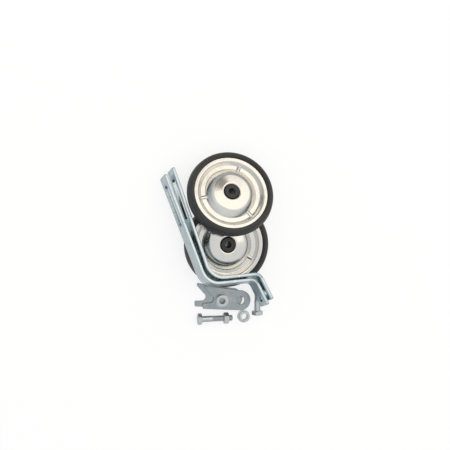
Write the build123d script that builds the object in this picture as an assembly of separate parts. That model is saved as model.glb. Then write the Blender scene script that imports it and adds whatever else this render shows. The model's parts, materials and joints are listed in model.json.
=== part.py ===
"""Bicycle training wheels: two pressed disc wheels, two bent arms and their fixings, lying as a loose set.

Millimetres and degrees, +Z up, table at z = 0. The layout is worked out round the lower wheel, whose axis
stands at x = 0, y = 0; at the end everything moves so that the origin is under the middle of the set.
"""
import math
import os

from build123d import *

# Wheel sizes: heights from the wheel's own middle plane, widths inward from the tread
wheel_radius = 55.0
tyre_half_width = 10.5
tyre_crown_depth = 6.2
tyre_depth = 8.3
tyre_shoulder_height = 6.4
sheet = 1.2
rim_band = 4.7
rim_height = 6.1
rim_slope = 4.0
ring_width = 6.0
boss_slope = 8.0
boss_height = 8.2
hub_radius = 9.0
hub_height = 9.9
collar_depth = 4.4
press_radius = 2.2
bead_width = 4.8
bead_height = 1.5
bead_count = 3
bead_start_angle = 69.0
bore_radius = 4.15
bush_flange_radius = 12.5
bush_proud = 0.3
running_clearance = 0.08
seat_clearance = 0.06

# Radii of the wheel's pressed corners
tyre_widest_radius = wheel_radius - tyre_crown_depth
rim_outer_radius = wheel_radius - tyre_depth
rim_inner_radius = rim_outer_radius - rim_band
ring_outer_radius = rim_inner_radius - rim_slope
ring_inner_radius = ring_outer_radius - ring_width
boss_radius = ring_inner_radius - boss_slope

# Arm sizes, lengths between the crossing points of the straight legs
bar_width = 20.0
bar_thickness = 4.0
long_leg = 144.5
offset_leg = 65.0
short_leg = 35.0
long_bend = 76.5
short_bend = 71.0
long_bend_radius = 21.0
short_bend_radius = 8.5
bar_edge_radius = 1.0
bar_corner_radius = 2.0
slot_width = 10.5
slot_length = 55.0
slot_from_end = 12.0
axle_hole_radius = 4.2
axle_hole_from_end = 10.0

# Fixing sizes
bracket_thickness = 3.0
bracket_hole_radius = 5.2
bracket_end_radius = 13.0
bracket_length = 50.0
beak_reach = 47.0
beak_side = 21.0
notch_depth_from_hole = 29.0
prong_width = 7.0
prong_offset = 2.0
beak_width = 3.5
notch_radius = 5.0
bracket_corner_radius = 1.2
bolt_radius = 4.0
bolt_length = 40.0
hex_flats = 13.0
bolt_head_height = 5.3
nut_height = 6.5
nut_from_tip = 5.0
thread_clearance = 0.05
washer_outer_radius = 8.0
washer_inner_radius = 4.2
washer_thickness = 1.6
spring_outer_radius = 7.2
spring_inner_radius = 4.15
spring_thickness = 2.0
spring_gap = 1.2

# Layout of the loose set on the table
rest_gap = 0.25
wheel_spacing = 64.2
wheel_direction = 88.7
lower_bead_turn = 21.5
left_heading = -70.8
long_leg_over_tyre = 4.75
offset_leg_over_tyre = 8.8
arm_gap = 2.6
bend_difference = 2.0
bracket_gap = 3.0
bracket_shift = 10.0
fixing_gap = 1.5
rest_steps = 40


def ellipse_rise(distance, reach, rise):
    """Height of a quarter ellipse above its centre, at a distance from the centre."""
    share = min(1.0, abs(distance) / reach)
    return rise * math.sqrt(1.0 - share * share)


def tyre_edge_radius():
    """Radius of the tyre wall that stands round the rim edge."""
    return rim_outer_radius + 4 * seat_clearance


def half_thickness(radius):
    """Half the wheel's outer thickness at a radius, straight between the pressed corners."""
    if radius > wheel_radius:
        return None
    if radius >= tyre_widest_radius:
        return ellipse_rise(radius - tyre_widest_radius, wheel_radius - tyre_widest_radius, tyre_half_width)
    if radius >= tyre_edge_radius():
        reach = tyre_widest_radius - tyre_edge_radius()
        rise = tyre_half_width - tyre_shoulder_height
        return tyre_shoulder_height + ellipse_rise(tyre_widest_radius - radius, reach, rise)
    corners = [
        (0.0, hub_height + bush_proud),
        (hub_radius, hub_height + bush_proud),
        (boss_radius, boss_height),
        (ring_inner_radius, sheet),
        (ring_outer_radius, sheet),
        (rim_inner_radius, rim_height),
        (tyre_edge_radius(), rim_height),
    ]
    for (r0, z0), (r1, z1) in zip(corners, corners[1:]):
        if radius <= r1:
            return z0 + (z1 - z0) * (radius - r0) / (r1 - r0)
    return rim_height


def lean_of_upper_wheel():
    """Tilt of the upper wheel and the height of its centre, found by halving the range of tilts.

    Its far edge stands on the table and its underside lies on the lower tyre, in the plane of both axes.
    """
    radii = [wheel_radius * k / 400 for k in range(200, 401)]

    def centre_height(tilt):
        return max(r * math.sin(tilt) + half_thickness(r) * math.cos(tilt) for r in radii)

    def clearance(tilt):
        height = centre_height(tilt)
        smallest = wheel_radius
        for r in radii:
            along = r - wheel_spacing
            up = tyre_half_width + half_thickness(r) - height
            across = along * math.cos(tilt) - up * math.sin(tilt)
            below = -along * math.sin(tilt) - up * math.cos(tilt)
            if abs(across) <= wheel_radius:
                smallest = min(smallest, below - half_thickness(abs(across)))
        return smallest

    low, high = 0.0, 0.9
    for _ in range(rest_steps):
        middle = (low + high) / 2
        if clearance(middle) < rest_gap:
            low = middle
        else:
            high = middle
    return math.degrees(high), centre_height(high)


def left_arm_corner():
    """Crossing point of the first arm: each leg's middle line passes a set way inside the lower tyre's tread."""
    long_side = Vector(1, 0, 0).rotate(Axis.Z, left_heading - 90)
    offset_side = Vector(1, 0, 0).rotate(Axis.Z, left_heading + long_bend - 90)
    long_reach = wheel_radius - long_leg_over_tyre
    offset_reach = wheel_radius - offset_leg_over_tyre
    shared = long_side.dot(offset_side)
    corner = long_side * (long_reach - shared * offset_reach) + offset_side * (offset_reach - shared * long_reach)
    corner = corner / (1 - shared * shared)
    return (corner.X, corner.Y)


def arm_path(extra_bend=0.0):
    """Middle line of an arm in its own plane: the long leg runs along +X to its crossing point at the origin."""
    turn_one = math.radians(long_bend + extra_bend)
    turn_two = math.radians(long_bend + extra_bend - short_bend)
    foot = Vector(-long_leg, 0)
    corner = Vector(0, 0)
    elbow = Vector(math.cos(turn_one), math.sin(turn_one)) * offset_leg
    tip = elbow + Vector(math.cos(turn_two), math.sin(turn_two)) * short_leg
    long_tangent = long_bend_radius * math.tan(turn_one / 2)
    short_tangent = short_bend_radius * math.tan(math.radians(short_bend) / 2)
    toward_elbow = elbow.normalized()
    toward_tip = (tip - elbow).normalized()
    start = corner - Vector(1, 0) * long_tangent
    first = Line(foot, start)
    bend_one = TangentArc(start, corner + toward_elbow * long_tangent, tangent=Vector(1, 0))
    second = Line(bend_one @ 1, elbow - toward_elbow * short_tangent)
    bend_two = TangentArc(second @ 1, elbow + toward_tip * short_tangent, tangent=toward_elbow)
    third = Line(bend_two @ 1, tip)
    return [first, bend_one, second, bend_two, third]


def side_points(pieces):
    """Points along both sides of the bar, in the plane of its lower edges."""
    points = []
    for piece in pieces:
        for k in range(41):
            along = piece % (k / 40)
            across = Vector(-along.Y, along.X) * (bar_thickness / 2)
            points.append((piece @ (k / 40)) + across)
            points.append((piece @ (k / 40)) - across)
    return points


def foot_corner_points():
    """Points round the turned lower corner at the foot of the long leg."""
    points = []
    for k in range(13):
        turn = math.radians(7.5 * k)
        along = -long_leg + bar_corner_radius * (1 - math.cos(turn))
        up = bar_corner_radius * (1 - math.sin(turn))
        points.append(Vector(along, bar_thickness / 2, up))
        points.append(Vector(along, -bar_thickness / 2, up))
    return points


def clearance_over_lower_wheel(point):
    """Height of a point above the lower wheel's tyre; far above where there is none below it."""
    radius = math.hypot(point.X, point.Y)
    if radius > wheel_radius or radius < tyre_edge_radius():
        return point.Z + wheel_radius
    return point.Z - tyre_half_width - half_thickness(radius) - rest_gap


def arm_plane(corner, level, heading, normal):
    """Plane of an arm's lower edges: its crossing point above a corner, the long leg along a heading."""
    way = Vector(1, 0, 0).rotate(Axis.Z, heading)
    forward = way - Vector(0, 0, way.dot(normal) / normal.Z)
    return Plane(Vector(corner[0], corner[1], level), x_dir=forward, z_dir=normal)


def arm_rest(corner, heading):
    """Plane of an arm's lower edges at rest: foot on the table, long leg and far legs on the lower tyre.

    Each step takes the plane through the three points that are nearest to touching, each let down by its own
    clearance, until nothing moves any more.
    """
    path = arm_path()
    foot_points = foot_corner_points()
    long_points = side_points(path[:1])
    far_points = side_points(path[1:])
    normal = Vector(0.2, 0.3, 1).normalized()
    level = 2 * tyre_half_width
    for _ in range(rest_steps):
        plane = arm_plane(corner, level, heading, normal)
        foot = min((plane.from_local_coords(p) for p in foot_points), key=lambda p: p.Z)
        near = min((plane.from_local_coords(p) for p in long_points), key=clearance_over_lower_wheel)
        far = min((plane.from_local_coords(p) for p in far_points), key=clearance_over_lower_wheel)
        a = foot - Vector(0, 0, foot.Z)
        b = near - Vector(0, 0, clearance_over_lower_wheel(near))
        c = far - Vector(0, 0, clearance_over_lower_wheel(far))
        upward = (b - a).cross(c - a).normalized()
        upward = upward if upward.Z > 0 else upward * -1
        normal = (normal + upward).normalized()
        level = ((a.X - corner[0]) * normal.X + (a.Y - corner[1]) * normal.Y) / normal.Z
    return plane


def right_arm_corner():
    """Crossing point of the second arm: the same gap to the first along the long leg and the offset leg."""
    long_side = Vector(1, 0, 0).rotate(Axis.Z, left_heading + 90)
    offset_side = Vector(1, 0, 0).rotate(Axis.Z, left_heading + long_bend + 90)
    spacing = (bar_thickness + arm_gap) / (1 + long_side.dot(offset_side))
    step = (long_side + offset_side) * spacing
    left = left_arm_corner()
    return (left[0] + step.X, left[1] + step.Y)


def arm_beside(corner, heading, normal):
    """Plane of the second arm, parallel to the first and let down until it touches the tyre or the table."""
    plane = arm_plane(corner, 0.0, heading, normal)
    points = [plane.from_local_coords(p) for p in side_points(arm_path(bend_difference))]
    level = -min(min(p.Z, clearance_over_lower_wheel(p)) for p in points)
    return arm_plane(corner, level, heading, normal)


def sheet_section():
    """Closed half section of the pressed disc: one sheet of constant thickness, from hub collar to rim edge."""
    mid = sheet / 2
    points = [
        (hub_radius + mid, hub_height - collar_depth),
        (hub_radius + mid, hub_height - mid),
        (boss_radius, boss_height - mid),
        (ring_inner_radius, mid),
        (ring_outer_radius, mid),
        (rim_inner_radius, rim_height - mid),
        (rim_outer_radius - mid, rim_height - mid),
    ]
    path = FilletPolyline(*points, radius=press_radius)
    outline = path.wire().offset_2d(mid, kind=Kind.ARC, side=Side.BOTH, closed=True)
    return Plane.XZ * make_face(outline)


def bead(radius):
    """Half-round radial bar across the joining ring, standing on the middle plane."""
    span = ring_outer_radius - ring_inner_radius
    middle = (ring_inner_radius + ring_outer_radius) / 2
    centre_z = sheet + bead_height - bead_width / 2
    bar = Pos(middle, 0, centre_z) * Rot(0, 90, 0) * Cylinder(radius, span)
    ends = [Pos(middle + side * span / 2, 0, centre_z) * Sphere(radius) for side in (-1, 1)]
    below = Pos(middle, 0, -wheel_radius / 2) * Box(2 * wheel_radius, 2 * wheel_radius, wheel_radius)
    return bar + ends - below


def disc():
    """Pressed steel half of a wheel, outer face up, with its embossed beads open below."""
    body = revolve(sheet_section(), Axis.Z)
    for k in range(bead_count):
        turn = Rot(0, 0, bead_start_angle + k * 360 / bead_count)
        body = body + turn * bead(bead_width / 2) - turn * bead(bead_width / 2 - sheet)
    return body


def tyre():
    """Solid rubber ring: round crown, shoulders round the rim edge and a neck between the two halves."""
    edge = tyre_edge_radius()
    neck = rim_height - sheet - seat_clearance
    root = rim_inner_radius - press_radius / 2
    root_half = neck / 2
    crown_reach = wheel_radius - tyre_widest_radius
    crown = EllipticalCenterArc((tyre_widest_radius, 0), crown_reach, tyre_half_width, -90, arc_size=180)
    reach = tyre_widest_radius - edge
    rise = tyre_half_width - tyre_shoulder_height
    upper_centre = (tyre_widest_radius, tyre_shoulder_height)
    lower_centre = (tyre_widest_radius, -tyre_shoulder_height)
    upper = EllipticalCenterArc(upper_centre, reach, rise, 90, arc_size=90)
    lower = EllipticalCenterArc(lower_centre, reach, rise, 180, arc_size=90)
    side = Polyline(
        (edge, tyre_shoulder_height),
        (edge, neck),
        (rim_inner_radius + press_radius, neck),
        (root, root_half),
        (root, -root_half),
        (rim_inner_radius + press_radius, -neck),
        (edge, -neck),
        (edge, -tyre_shoulder_height),
    )
    return revolve(Plane.XZ * make_face([crown, upper, side, lower]), Axis.Z)


def bush():
    """Nylon spool: journals in the hub collars, a flange trapped between them and the axle bore."""
    end = hub_height + bush_proud
    journal = hub_radius - running_clearance
    flange = hub_height - collar_depth - sheet / 2 - 2 * running_clearance
    body = Cylinder(journal, 2 * end) + Cylinder(bush_flange_radius, 2 * flange)
    body = body - Cylinder(bore_radius, 3 * end)
    rims = body.edges().filter_by(GeomType.CIRCLE).group_by(Axis.Z)
    return chamfer(rims[0] + rims[-1], 0.4)


def arm(extra_bend=0.0):
    """Flat bar bent into a Z, lower edges on z = 0: height slot in the long leg, axle hole in the short leg."""
    path = Wire(arm_path(extra_bend))
    half = bar_thickness / 2
    one = path.offset_2d(half, side=Side.LEFT, closed=False)
    two = path.offset_2d(half, side=Side.RIGHT, closed=False)
    caps = []
    for corner in (one @ 0, one @ 1):
        opposite = min((two @ 0, two @ 1), key=lambda p: (p - corner).length)
        caps.append(Line(corner, opposite))
    body = extrude(make_face(Wire(one.edges() + two.edges() + caps)), bar_width)
    ends = [path @ 0, path @ 1]
    across = [
        e for e in body.edges().filter_by(GeomType.LINE)
        if abs(e.length - bar_thickness) < 0.01
        and min((Vector((e @ 0.5).X, (e @ 0.5).Y) - p).length for p in ends) < 0.1
    ]
    body = fillet(across, bar_corner_radius)
    long_edges = body.faces().filter_by(Axis.Z).edges().filter_by(lambda e: e.length > bar_thickness + 1)
    body = fillet(long_edges, bar_edge_radius)
    first, *_, last = arm_path(extra_bend)
    slot_middle = first.position_at(slot_from_end + slot_length / 2, position_mode=PositionMode.LENGTH)
    slot_plane = Plane(slot_middle + Vector(0, 0, bar_width / 2), x_dir=first % 0, z_dir=(0, 1, 0))
    slot = extrude(slot_plane * SlotOverall(slot_length, slot_width), bar_thickness, both=True)
    way = last % 0
    hole_middle = (last @ 1) - way * axle_hole_from_end + Vector(0, 0, bar_width / 2)
    hole_plane = Plane(hole_middle, x_dir=way, z_dir=(-way.Y, way.X, 0))
    hole = hole_plane * Cylinder(axle_hole_radius, 3 * bar_thickness)
    return body - slot - hole


def fork_bracket():
    """Pressed plate, hole at the origin, fork along +X: a straight prong and a hooked beak clasp the frame."""
    end = bracket_end_radius
    prong_outer = prong_offset + prong_width
    beak_inner = beak_width - beak_side
    jaw_middle = ((notch_depth_from_hole + beak_reach) / 2 + 1, prong_offset - beak_side / 2)
    outline = [
        Line((0, end), (bracket_length, prong_outer)),
        Line((bracket_length, prong_outer), (bracket_length, prong_offset)),
        Line((bracket_length, prong_offset), (notch_depth_from_hole, prong_offset)),
        ThreePointArc((notch_depth_from_hole, prong_offset), jaw_middle, (beak_reach, beak_inner)),
        Line((beak_reach, beak_inner), (beak_reach, -beak_side)),
        Line((beak_reach, -beak_side), (0, -end)),
        ThreePointArc((0, -end), (-end, 0), (0, end)),
    ]
    plate = extrude(make_face(Wire(outline)), bracket_thickness)
    plate = plate - Cylinder(bracket_hole_radius, 3 * bracket_thickness)
    notch = (notch_depth_from_hole, prong_offset, bracket_thickness / 2)
    plate = fillet(plate.edges().filter_by(Axis.Z).sort_by_distance(notch)[0], notch_radius)
    tips = min(bracket_length, beak_reach) - 1
    plate = fillet([e for e in plate.edges().filter_by(Axis.Z) if (e @ 0).X > tips], bracket_corner_radius)
    return chamfer(plate.faces().filter_by(Axis.Z).edges(), 0.3)


def hex_prism(height, bore=0.0):
    """Hexagonal prism from z = 0 with turned corners; a flat faces -Y. A bore is cut where one is given."""
    corner_radius = hex_flats / math.sqrt(3)
    prism = extrude(RegularPolygon(hex_flats / 2, 6, major_radius=False), height)
    turned = Pos(0, 0, height / 2) * Cylinder(corner_radius * 0.99, height)
    turned = chamfer(turned.edges().filter_by(GeomType.CIRCLE), 0.9, 0.5)
    body = prism & turned
    if bore:
        body = body - Cylinder(bore, 3 * height)
    return body


def bolt():
    """Hex-head bolt, head from z = -head height to 0, shank along +Z with a turned tip."""
    head = Pos(0, 0, -bolt_head_height) * hex_prism(bolt_head_height)
    shank = Pos(0, 0, bolt_length / 2) * Cylinder(bolt_radius, bolt_length)
    shank = chamfer(shank.edges().filter_by(GeomType.CIRCLE).sort_by(Axis.Z)[-1], 0.8)
    return head + shank


def ring(outer, inner, height):
    """Plain ring standing on z = 0."""
    body = Pos(0, 0, height / 2) * (Cylinder(outer, height) - Cylinder(inner, 2 * height))
    return body


def spring_washer():
    """Split ring: square section with a slanting gap."""
    middle = (spring_outer_radius + spring_inner_radius) / 2
    width = spring_outer_radius - spring_inner_radius
    cut = Pos(middle, 0, spring_thickness / 2) * Rot(35, 0, 0) * Box(2 * width, spring_gap, 4 * spring_thickness)
    return ring(spring_outer_radius, spring_inner_radius, spring_thickness) - cut


def lying_bolt_place(tip, heading):
    """Place of a bolt lying on two flats of its head, pointing along a heading, tip at a point of the table."""
    way = Vector(1, 0, 0).rotate(Axis.Z, heading)
    base = Vector(tip[0], tip[1], hex_flats / 2) - way * bolt_length
    side = Vector(0, 0, 1).cross(way)
    return Plane(base, x_dir=side, z_dir=way).location


def fixings():
    """Loose fixings on the table below the lower wheel: stacked brackets, bolts with nuts, washers."""
    half_turn = Rot(0, 0, 180)
    reach = wheel_radius + bracket_gap + bracket_end_radius
    lower_place = Pos(bracket_shift, -reach, 0) * half_turn
    upper_place = Pos(2 * bracket_shift, -reach - bracket_gap, bracket_thickness) * half_turn
    top = 2 * bracket_thickness
    corner_reach = hex_flats / math.sqrt(3)
    south = -reach - bracket_gap - bracket_end_radius - corner_reach - fixing_gap
    first_tip = (bracket_shift - bracket_length + bolt_length + bolt_head_height + 2 * fixing_gap, south)
    east = 2 * bracket_shift + bracket_end_radius + corner_reach + fixing_gap
    clear_of_wheel = wheel_radius + corner_reach + fixing_gap
    second_tip = (east, -math.sqrt(max(0.0, clear_of_wheel**2 - east**2)))
    bolt_places = [lying_bolt_place(first_tip, 0), lying_bolt_place(second_tip, 90)]
    nut_shift = Pos(0, 0, bolt_length - nut_from_tip - nut_height)
    plain = ring(washer_outer_radius, washer_inner_radius, washer_thickness)
    split = spring_washer()
    stack_x = 2 * bracket_shift - 2 * bracket_end_radius
    stack_y = -reach - bracket_gap
    pile_x = (first_tip[0] + east) / 2
    pile_y = south
    plain_places = [
        Pos(stack_x, stack_y, top),
        Pos(stack_x + 1.2, stack_y + 0.8, top + washer_thickness),
        Pos(pile_x, pile_y, 0),
        Pos(pile_x - 1.0, pile_y + 0.9, washer_thickness),
    ]
    split_places = [
        Pos(stack_x + 0.4, stack_y + 1.2, top + 2 * washer_thickness) * Rot(0, 0, 140),
        Pos(pile_x + 0.2, pile_y + 0.2, 2 * washer_thickness) * Rot(0, 0, 250),
    ]
    nut = hex_prism(nut_height, bolt_radius + thread_clearance)
    return {
        "lower_fork_bracket": lower_place * fork_bracket(),
        "upper_fork_bracket": upper_place * fork_bracket(),
        "axle_bolts": Compound([place * bolt() for place in bolt_places]),
        "axle_nuts": Compound([place * nut_shift * nut for place in bolt_places]),
        "flat_washers": Compound([place * plain for place in plain_places]),
        "spring_washers": Compound([place * split for place in split_places]),
    }


def wheel_places():
    """Places of the upper and the lower wheel: centre of the middle plane, +Z along the axis."""
    tilt, height = lean_of_upper_wheel()
    way = Vector(1, 0, 0).rotate(Axis.Z, wheel_direction)
    upper = Pos(way.X * wheel_spacing, way.Y * wheel_spacing, height)
    upper = upper * Rot(0, 0, wheel_direction) * Rot(0, tilt, 0) * Rot(0, 0, -wheel_direction)
    lower = Pos(0, 0, tyre_half_width) * Rot(0, 0, lower_bead_turn)
    return {"upper": upper, "lower": lower}


def build_set():
    """All pieces by node name, moved so that the origin is under the middle of the set."""
    pieces = {}
    face = disc()
    turned = Rot(180, 0, 0) * face
    for name, place in wheel_places().items():
        pieces[name + "_tyre"] = place * tyre()
        pieces[name + "_front_disc"] = place * face
        pieces[name + "_back_disc"] = place * turned
        pieces[name + "_bush"] = place * bush()
    left_plane = arm_rest(left_arm_corner(), left_heading)
    right_plane = arm_beside(right_arm_corner(), left_heading - bend_difference, left_plane.z_dir)
    pieces["left_arm"] = left_plane.location * arm()
    pieces["right_arm"] = right_plane.location * arm(bend_difference)
    pieces.update(fixings())
    box = Compound(list(pieces.values())).bounding_box()
    shift = Pos(-box.center().X, -box.center().Y, -box.min.Z)
    return {name: shift * piece for name, piece in pieces.items()}, shift


def main():
    os.makedirs("parts", exist_ok=True)
    pieces, shift = build_set()
    for name, piece in pieces.items():
        export_step(piece, os.path.join("parts", name + ".step"))
    places = {name: shift * place for name, place in wheel_places().items()}
    for name, place in places.items():
        axis = Plane(place).z_dir
        print(name, "wheel centre", place.position, "axis", axis)


if __name__ == "__main__":
    main()
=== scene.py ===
# %% [markdown]
# # A loose set of bicycle training wheels
# Two pressed-steel disc wheels lie one on the other, two Z-bent flat bars lean on the lower tyre, and the
# fixings lie below. The solids of the set come in as a fixed frame. This lesson builds the surfaces that a
# close look needs on top of that frame, gives every piece its own finish, and lights the set as on a
# photographer's white table.

# %% Load the frame
import json

import bmesh
import bpy
import numpy as np
from mathutils import Matrix, Vector
from mathutils.geometry import delaunay_2d_cdt


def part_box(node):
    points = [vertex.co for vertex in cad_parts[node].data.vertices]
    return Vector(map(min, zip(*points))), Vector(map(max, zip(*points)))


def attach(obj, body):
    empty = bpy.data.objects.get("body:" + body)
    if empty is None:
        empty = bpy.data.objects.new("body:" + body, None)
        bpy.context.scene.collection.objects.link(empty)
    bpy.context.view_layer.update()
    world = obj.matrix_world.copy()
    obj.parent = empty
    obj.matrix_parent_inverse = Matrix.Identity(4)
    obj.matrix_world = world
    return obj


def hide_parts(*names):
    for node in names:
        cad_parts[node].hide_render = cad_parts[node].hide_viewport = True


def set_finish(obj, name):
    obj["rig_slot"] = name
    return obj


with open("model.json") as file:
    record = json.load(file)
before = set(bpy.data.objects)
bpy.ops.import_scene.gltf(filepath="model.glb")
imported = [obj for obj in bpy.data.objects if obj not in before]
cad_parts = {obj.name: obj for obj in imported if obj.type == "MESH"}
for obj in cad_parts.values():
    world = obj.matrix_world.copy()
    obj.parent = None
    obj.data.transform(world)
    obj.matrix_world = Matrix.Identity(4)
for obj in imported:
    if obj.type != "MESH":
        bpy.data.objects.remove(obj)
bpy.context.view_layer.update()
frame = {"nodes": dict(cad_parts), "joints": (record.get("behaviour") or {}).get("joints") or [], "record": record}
nodes = frame["nodes"]

# %% [markdown]
# ## Where the wheels are
# A wheel is easiest to draw standing at the origin with its axle along z. The frame knows where each axle
# really is: every wheel turns about a hinge, and the hinge has a point and a direction. From those two we
# make a turn and a shift for each wheel, which carry every wheel surface to its place at the end.

# %% Wheel places from the hinges
MM = 0.001


def axle_place(joint):
    """Turn (three square-on directions as columns, the last along the axle) and shift (the centre)."""
    axle = np.array(joint["axis"], float)
    axle /= np.linalg.norm(axle)
    east = np.array([1.0, 0.0, 0.0]) - axle[0] * axle
    east /= np.linalg.norm(east)
    return np.column_stack([east, np.cross(axle, east), axle]), np.array(joint["pos_m"], float)


wheel_place = {joint["child"]: axle_place(joint) for joint in frame["joints"]}
tyre_low, tyre_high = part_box("lower_tyre")
wheel_radius = (tyre_high.x - tyre_low.x) / 2
tyre_half_width = (tyre_high.z - tyre_low.z) / 2
print("wheel radius mm:", round(wheel_radius / MM, 2), "half width mm:", round(tyre_half_width / MM, 2))

# %% [markdown]
# ## From a grid of points to a mesh
# Nearly every new surface in this file is a rectangle of points bent into shape: rows run one way, columns
# the other, and four neighbours make one face. A ring closes in one direction and a torus in both. Numpy
# fills the whole grid at once, and foreach_set hands it to Blender without a loop over vertices. It could be
# built with Blender's own ring and extrude tools, but a formula keeps every size in sight.

# %% Grid faces
def grid_faces(rows, columns, close_rows, close_columns):
    """Four corner numbers per face; a closed direction joins its last line to its first."""
    r = np.arange(rows if close_rows else rows - 1)[:, None]
    c = np.arange(columns if close_columns else columns - 1)[None, :]
    r_next = (r + 1) % rows
    c_next = (c + 1) % columns
    corners = [r * columns + c, r * columns + c_next, r_next * columns + c_next, r_next * columns + c]
    return np.stack(np.broadcast_arrays(*corners), -1).reshape(-1, 4)


def enclosed_volume(points, faces):
    """Signed volume: a sixth of the sum of the box products of both triangles of every face."""
    a, b, c, d = (points[faces[:, k]] for k in range(4))
    return np.einsum("ij,ij->", a, np.cross(b, c) + np.cross(c, d)) / 6


print("faces of a 4 by 6 grid that closes both ways:", len(grid_faces(4, 6, True, True)))

# %% [markdown]
# ## From a mesh to a piece
# Where a whole row of the grid falls together in one point, as on an axis, the doubles are merged and the
# empty faces go. Each mesh also keeps the points as they were drawn, before the piece was carried to its
# place, so that a pattern can follow the piece. A piece then rides on a body, takes the finish of a named
# slot and stands for a solid of the frame, alone or with others.

# %% Skins
SHARP_ANGLE = 0.6
POLE_REACH = 1e-7
EMPTY_FACE = 1e-8


def merged(mesh, reach, last_step):
    """Corners within reach become one; then the skin takes its own last step and is shaded smooth."""
    skin = bmesh.new()
    skin.from_mesh(mesh)
    bmesh.ops.remove_doubles(skin, verts=skin.verts, dist=reach)
    last_step(skin)
    open_edges = sum(not edge.is_manifold for edge in skin.edges)
    print(mesh.name, "faces:", len(skin.faces), "open edges:", open_edges)
    skin.to_mesh(mesh)
    skin.free()
    mesh.shade_smooth()


def drop_empty_faces(skin):
    """Last step of a grid: faces without area, as at a pole, are dissolved."""
    bmesh.ops.dissolve_degenerate(skin, edges=skin.edges, dist=EMPTY_FACE)


def keep_own_place(mesh, own):
    """The points as drawn, stored with the mesh for patterns that follow the piece."""
    spot = mesh.attributes.new("own_place", "FLOAT_VECTOR", "POINT")
    spot.data.foreach_set("vector", own.astype(np.float32).ravel())


# %% Pieces
STILL_BODY = "arms_and_fixings"
pieces = []


def shown(mesh):
    """Object that shows a mesh where its points already lie."""
    piece = bpy.data.objects.new(mesh.name, mesh)
    bpy.context.scene.collection.objects.link(piece)
    return piece


def surface(name, local, place, close_rows=True, close_columns=True):
    """Piece from a grid of local points, turned and shifted to its place, with its faces outward."""
    turn, shift = place
    own = local.reshape(-1, 3)
    world = own @ turn.T + shift
    faces = grid_faces(*local.shape[:2], close_rows, close_columns)
    if enclosed_volume(world - world.mean(0), faces) < 0:
        faces = faces[:, ::-1]
    mesh = bpy.data.meshes.new(name)
    mesh.vertices.add(len(world))
    mesh.vertices.foreach_set("co", world.astype(np.float32).ravel())
    mesh.loops.add(faces.size)
    mesh.loops.foreach_set("vertex_index", faces.astype(np.int32).ravel())
    mesh.polygons.add(len(faces))
    mesh.polygons.foreach_set("loop_start", np.arange(0, faces.size, 4, dtype=np.int32))
    mesh.update(calc_edges=True)
    keep_own_place(mesh, own)
    merged(mesh, POLE_REACH, drop_empty_faces)
    mesh.set_sharp_from_angle(angle=SHARP_ANGLE)
    return shown(mesh)


def dress(piece, body, slot, *replaced):
    """The piece rides on a body, takes a record slot's finish and stands for the named solids."""
    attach(piece, body)
    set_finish(piece, slot)
    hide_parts(*replaced)
    pieces.append(piece)


# %% [markdown]
# ## Profiles
# A pressed disc, a tyre and a bush are all profiles turned round an axle. A profile starts as a few corners.
# Pressed metal has no sharp corner, so each one becomes an arc that touches both sides. The line is then
# stepped out evenly, which keeps the faces square and the reflections calm.

# %% Profile helpers
ARC_POINTS = 13


def rounded_line(corners, radii, step):
    """Open line with an arc of its radius at each inner corner, then points at an even step along it.

    The arc starts the radius times the tangent of half the turn before the corner, and its centre stands
    square off that point on the inner side of the turn.
    """
    p = np.asarray(corners, float)
    radius = np.asarray(radii, float)[:, None]
    legs = np.diff(p, axis=0)
    ways = legs / np.linalg.norm(legs, axis=1, keepdims=True)
    come, go = ways[:-1], ways[1:]
    turn = np.arctan2(come[:, 0] * go[:, 1] - come[:, 1] * go[:, 0], (come * go).sum(1))[:, None]
    side = np.stack([-come[:, 1], come[:, 0]], 1) * np.sign(turn)
    start = p[1:-1] - come * (radius * np.tan(np.abs(turn) / 2))
    centre = start + side * radius
    swing = np.abs(turn) * np.linspace(0, 1, ARC_POINTS)
    off = (radius * np.cos(swing))[..., None]
    on = (radius * np.sin(swing))[..., None]
    arcs = centre[:, None] - side[:, None] * off + come[:, None] * on
    return evenly(np.vstack([p[:1], arcs.reshape(-1, 2), p[-1:]]), step)


def evenly(line, step):
    """Points at an even step of length along a line of points."""
    run = np.concatenate([[0.0], np.cumsum(np.linalg.norm(np.diff(line, axis=0), axis=1))])
    at = np.linspace(0, run[-1], int(np.ceil(run[-1] / step)) + 1)
    return np.stack([np.interp(at, run, line[:, k]) for k in range(line.shape[1])], 1)


def side_of(line):
    """Unit direction square to a line at each point, on its left."""
    along = np.gradient(line, axis=0)
    along /= np.linalg.norm(along, axis=1, keepdims=True)
    return np.stack([-along[:, 1], along[:, 0]], 1)


def turned(radius, height, angles):
    """Grid of a profile turned round z: x and y are the radius times cosine and sine of the angle."""
    radius, height, angles = np.broadcast_arrays(radius, height, angles)
    return np.stack([radius * np.cos(angles), radius * np.sin(angles), height], -1)


def full_turn(section, columns):
    """Grid of a section of radius and height turned right round z in even steps."""
    angles = np.linspace(0, 2 * np.pi, columns, endpoint=False)
    return turned(section[:, :1], section[:, 1:], angles[None, :])


print("points on a rounded corner:", len(rounded_line([(0, 0), (1, 0), (1, 1)], [0.3], 0.1)))

# %% [markdown]
# ## The pressed disc halves
# Each wheel is two bright steel pressings, set back to back. From the hub outward the sheet has a short
# collar, a shallow boss, a flank down to the flat ring where the halves meet, a slope up again and the rim
# band that grips the tyre. Three beads are pressed across the joining ring. A bead is a round bar pushed up
# into the sheet, so the sheet's height is the greater of its own and the bar's, blended over a little. A
# boolean could cut such a bead too, but it would leave a hard seam where the press leaves a soft one.

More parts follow.
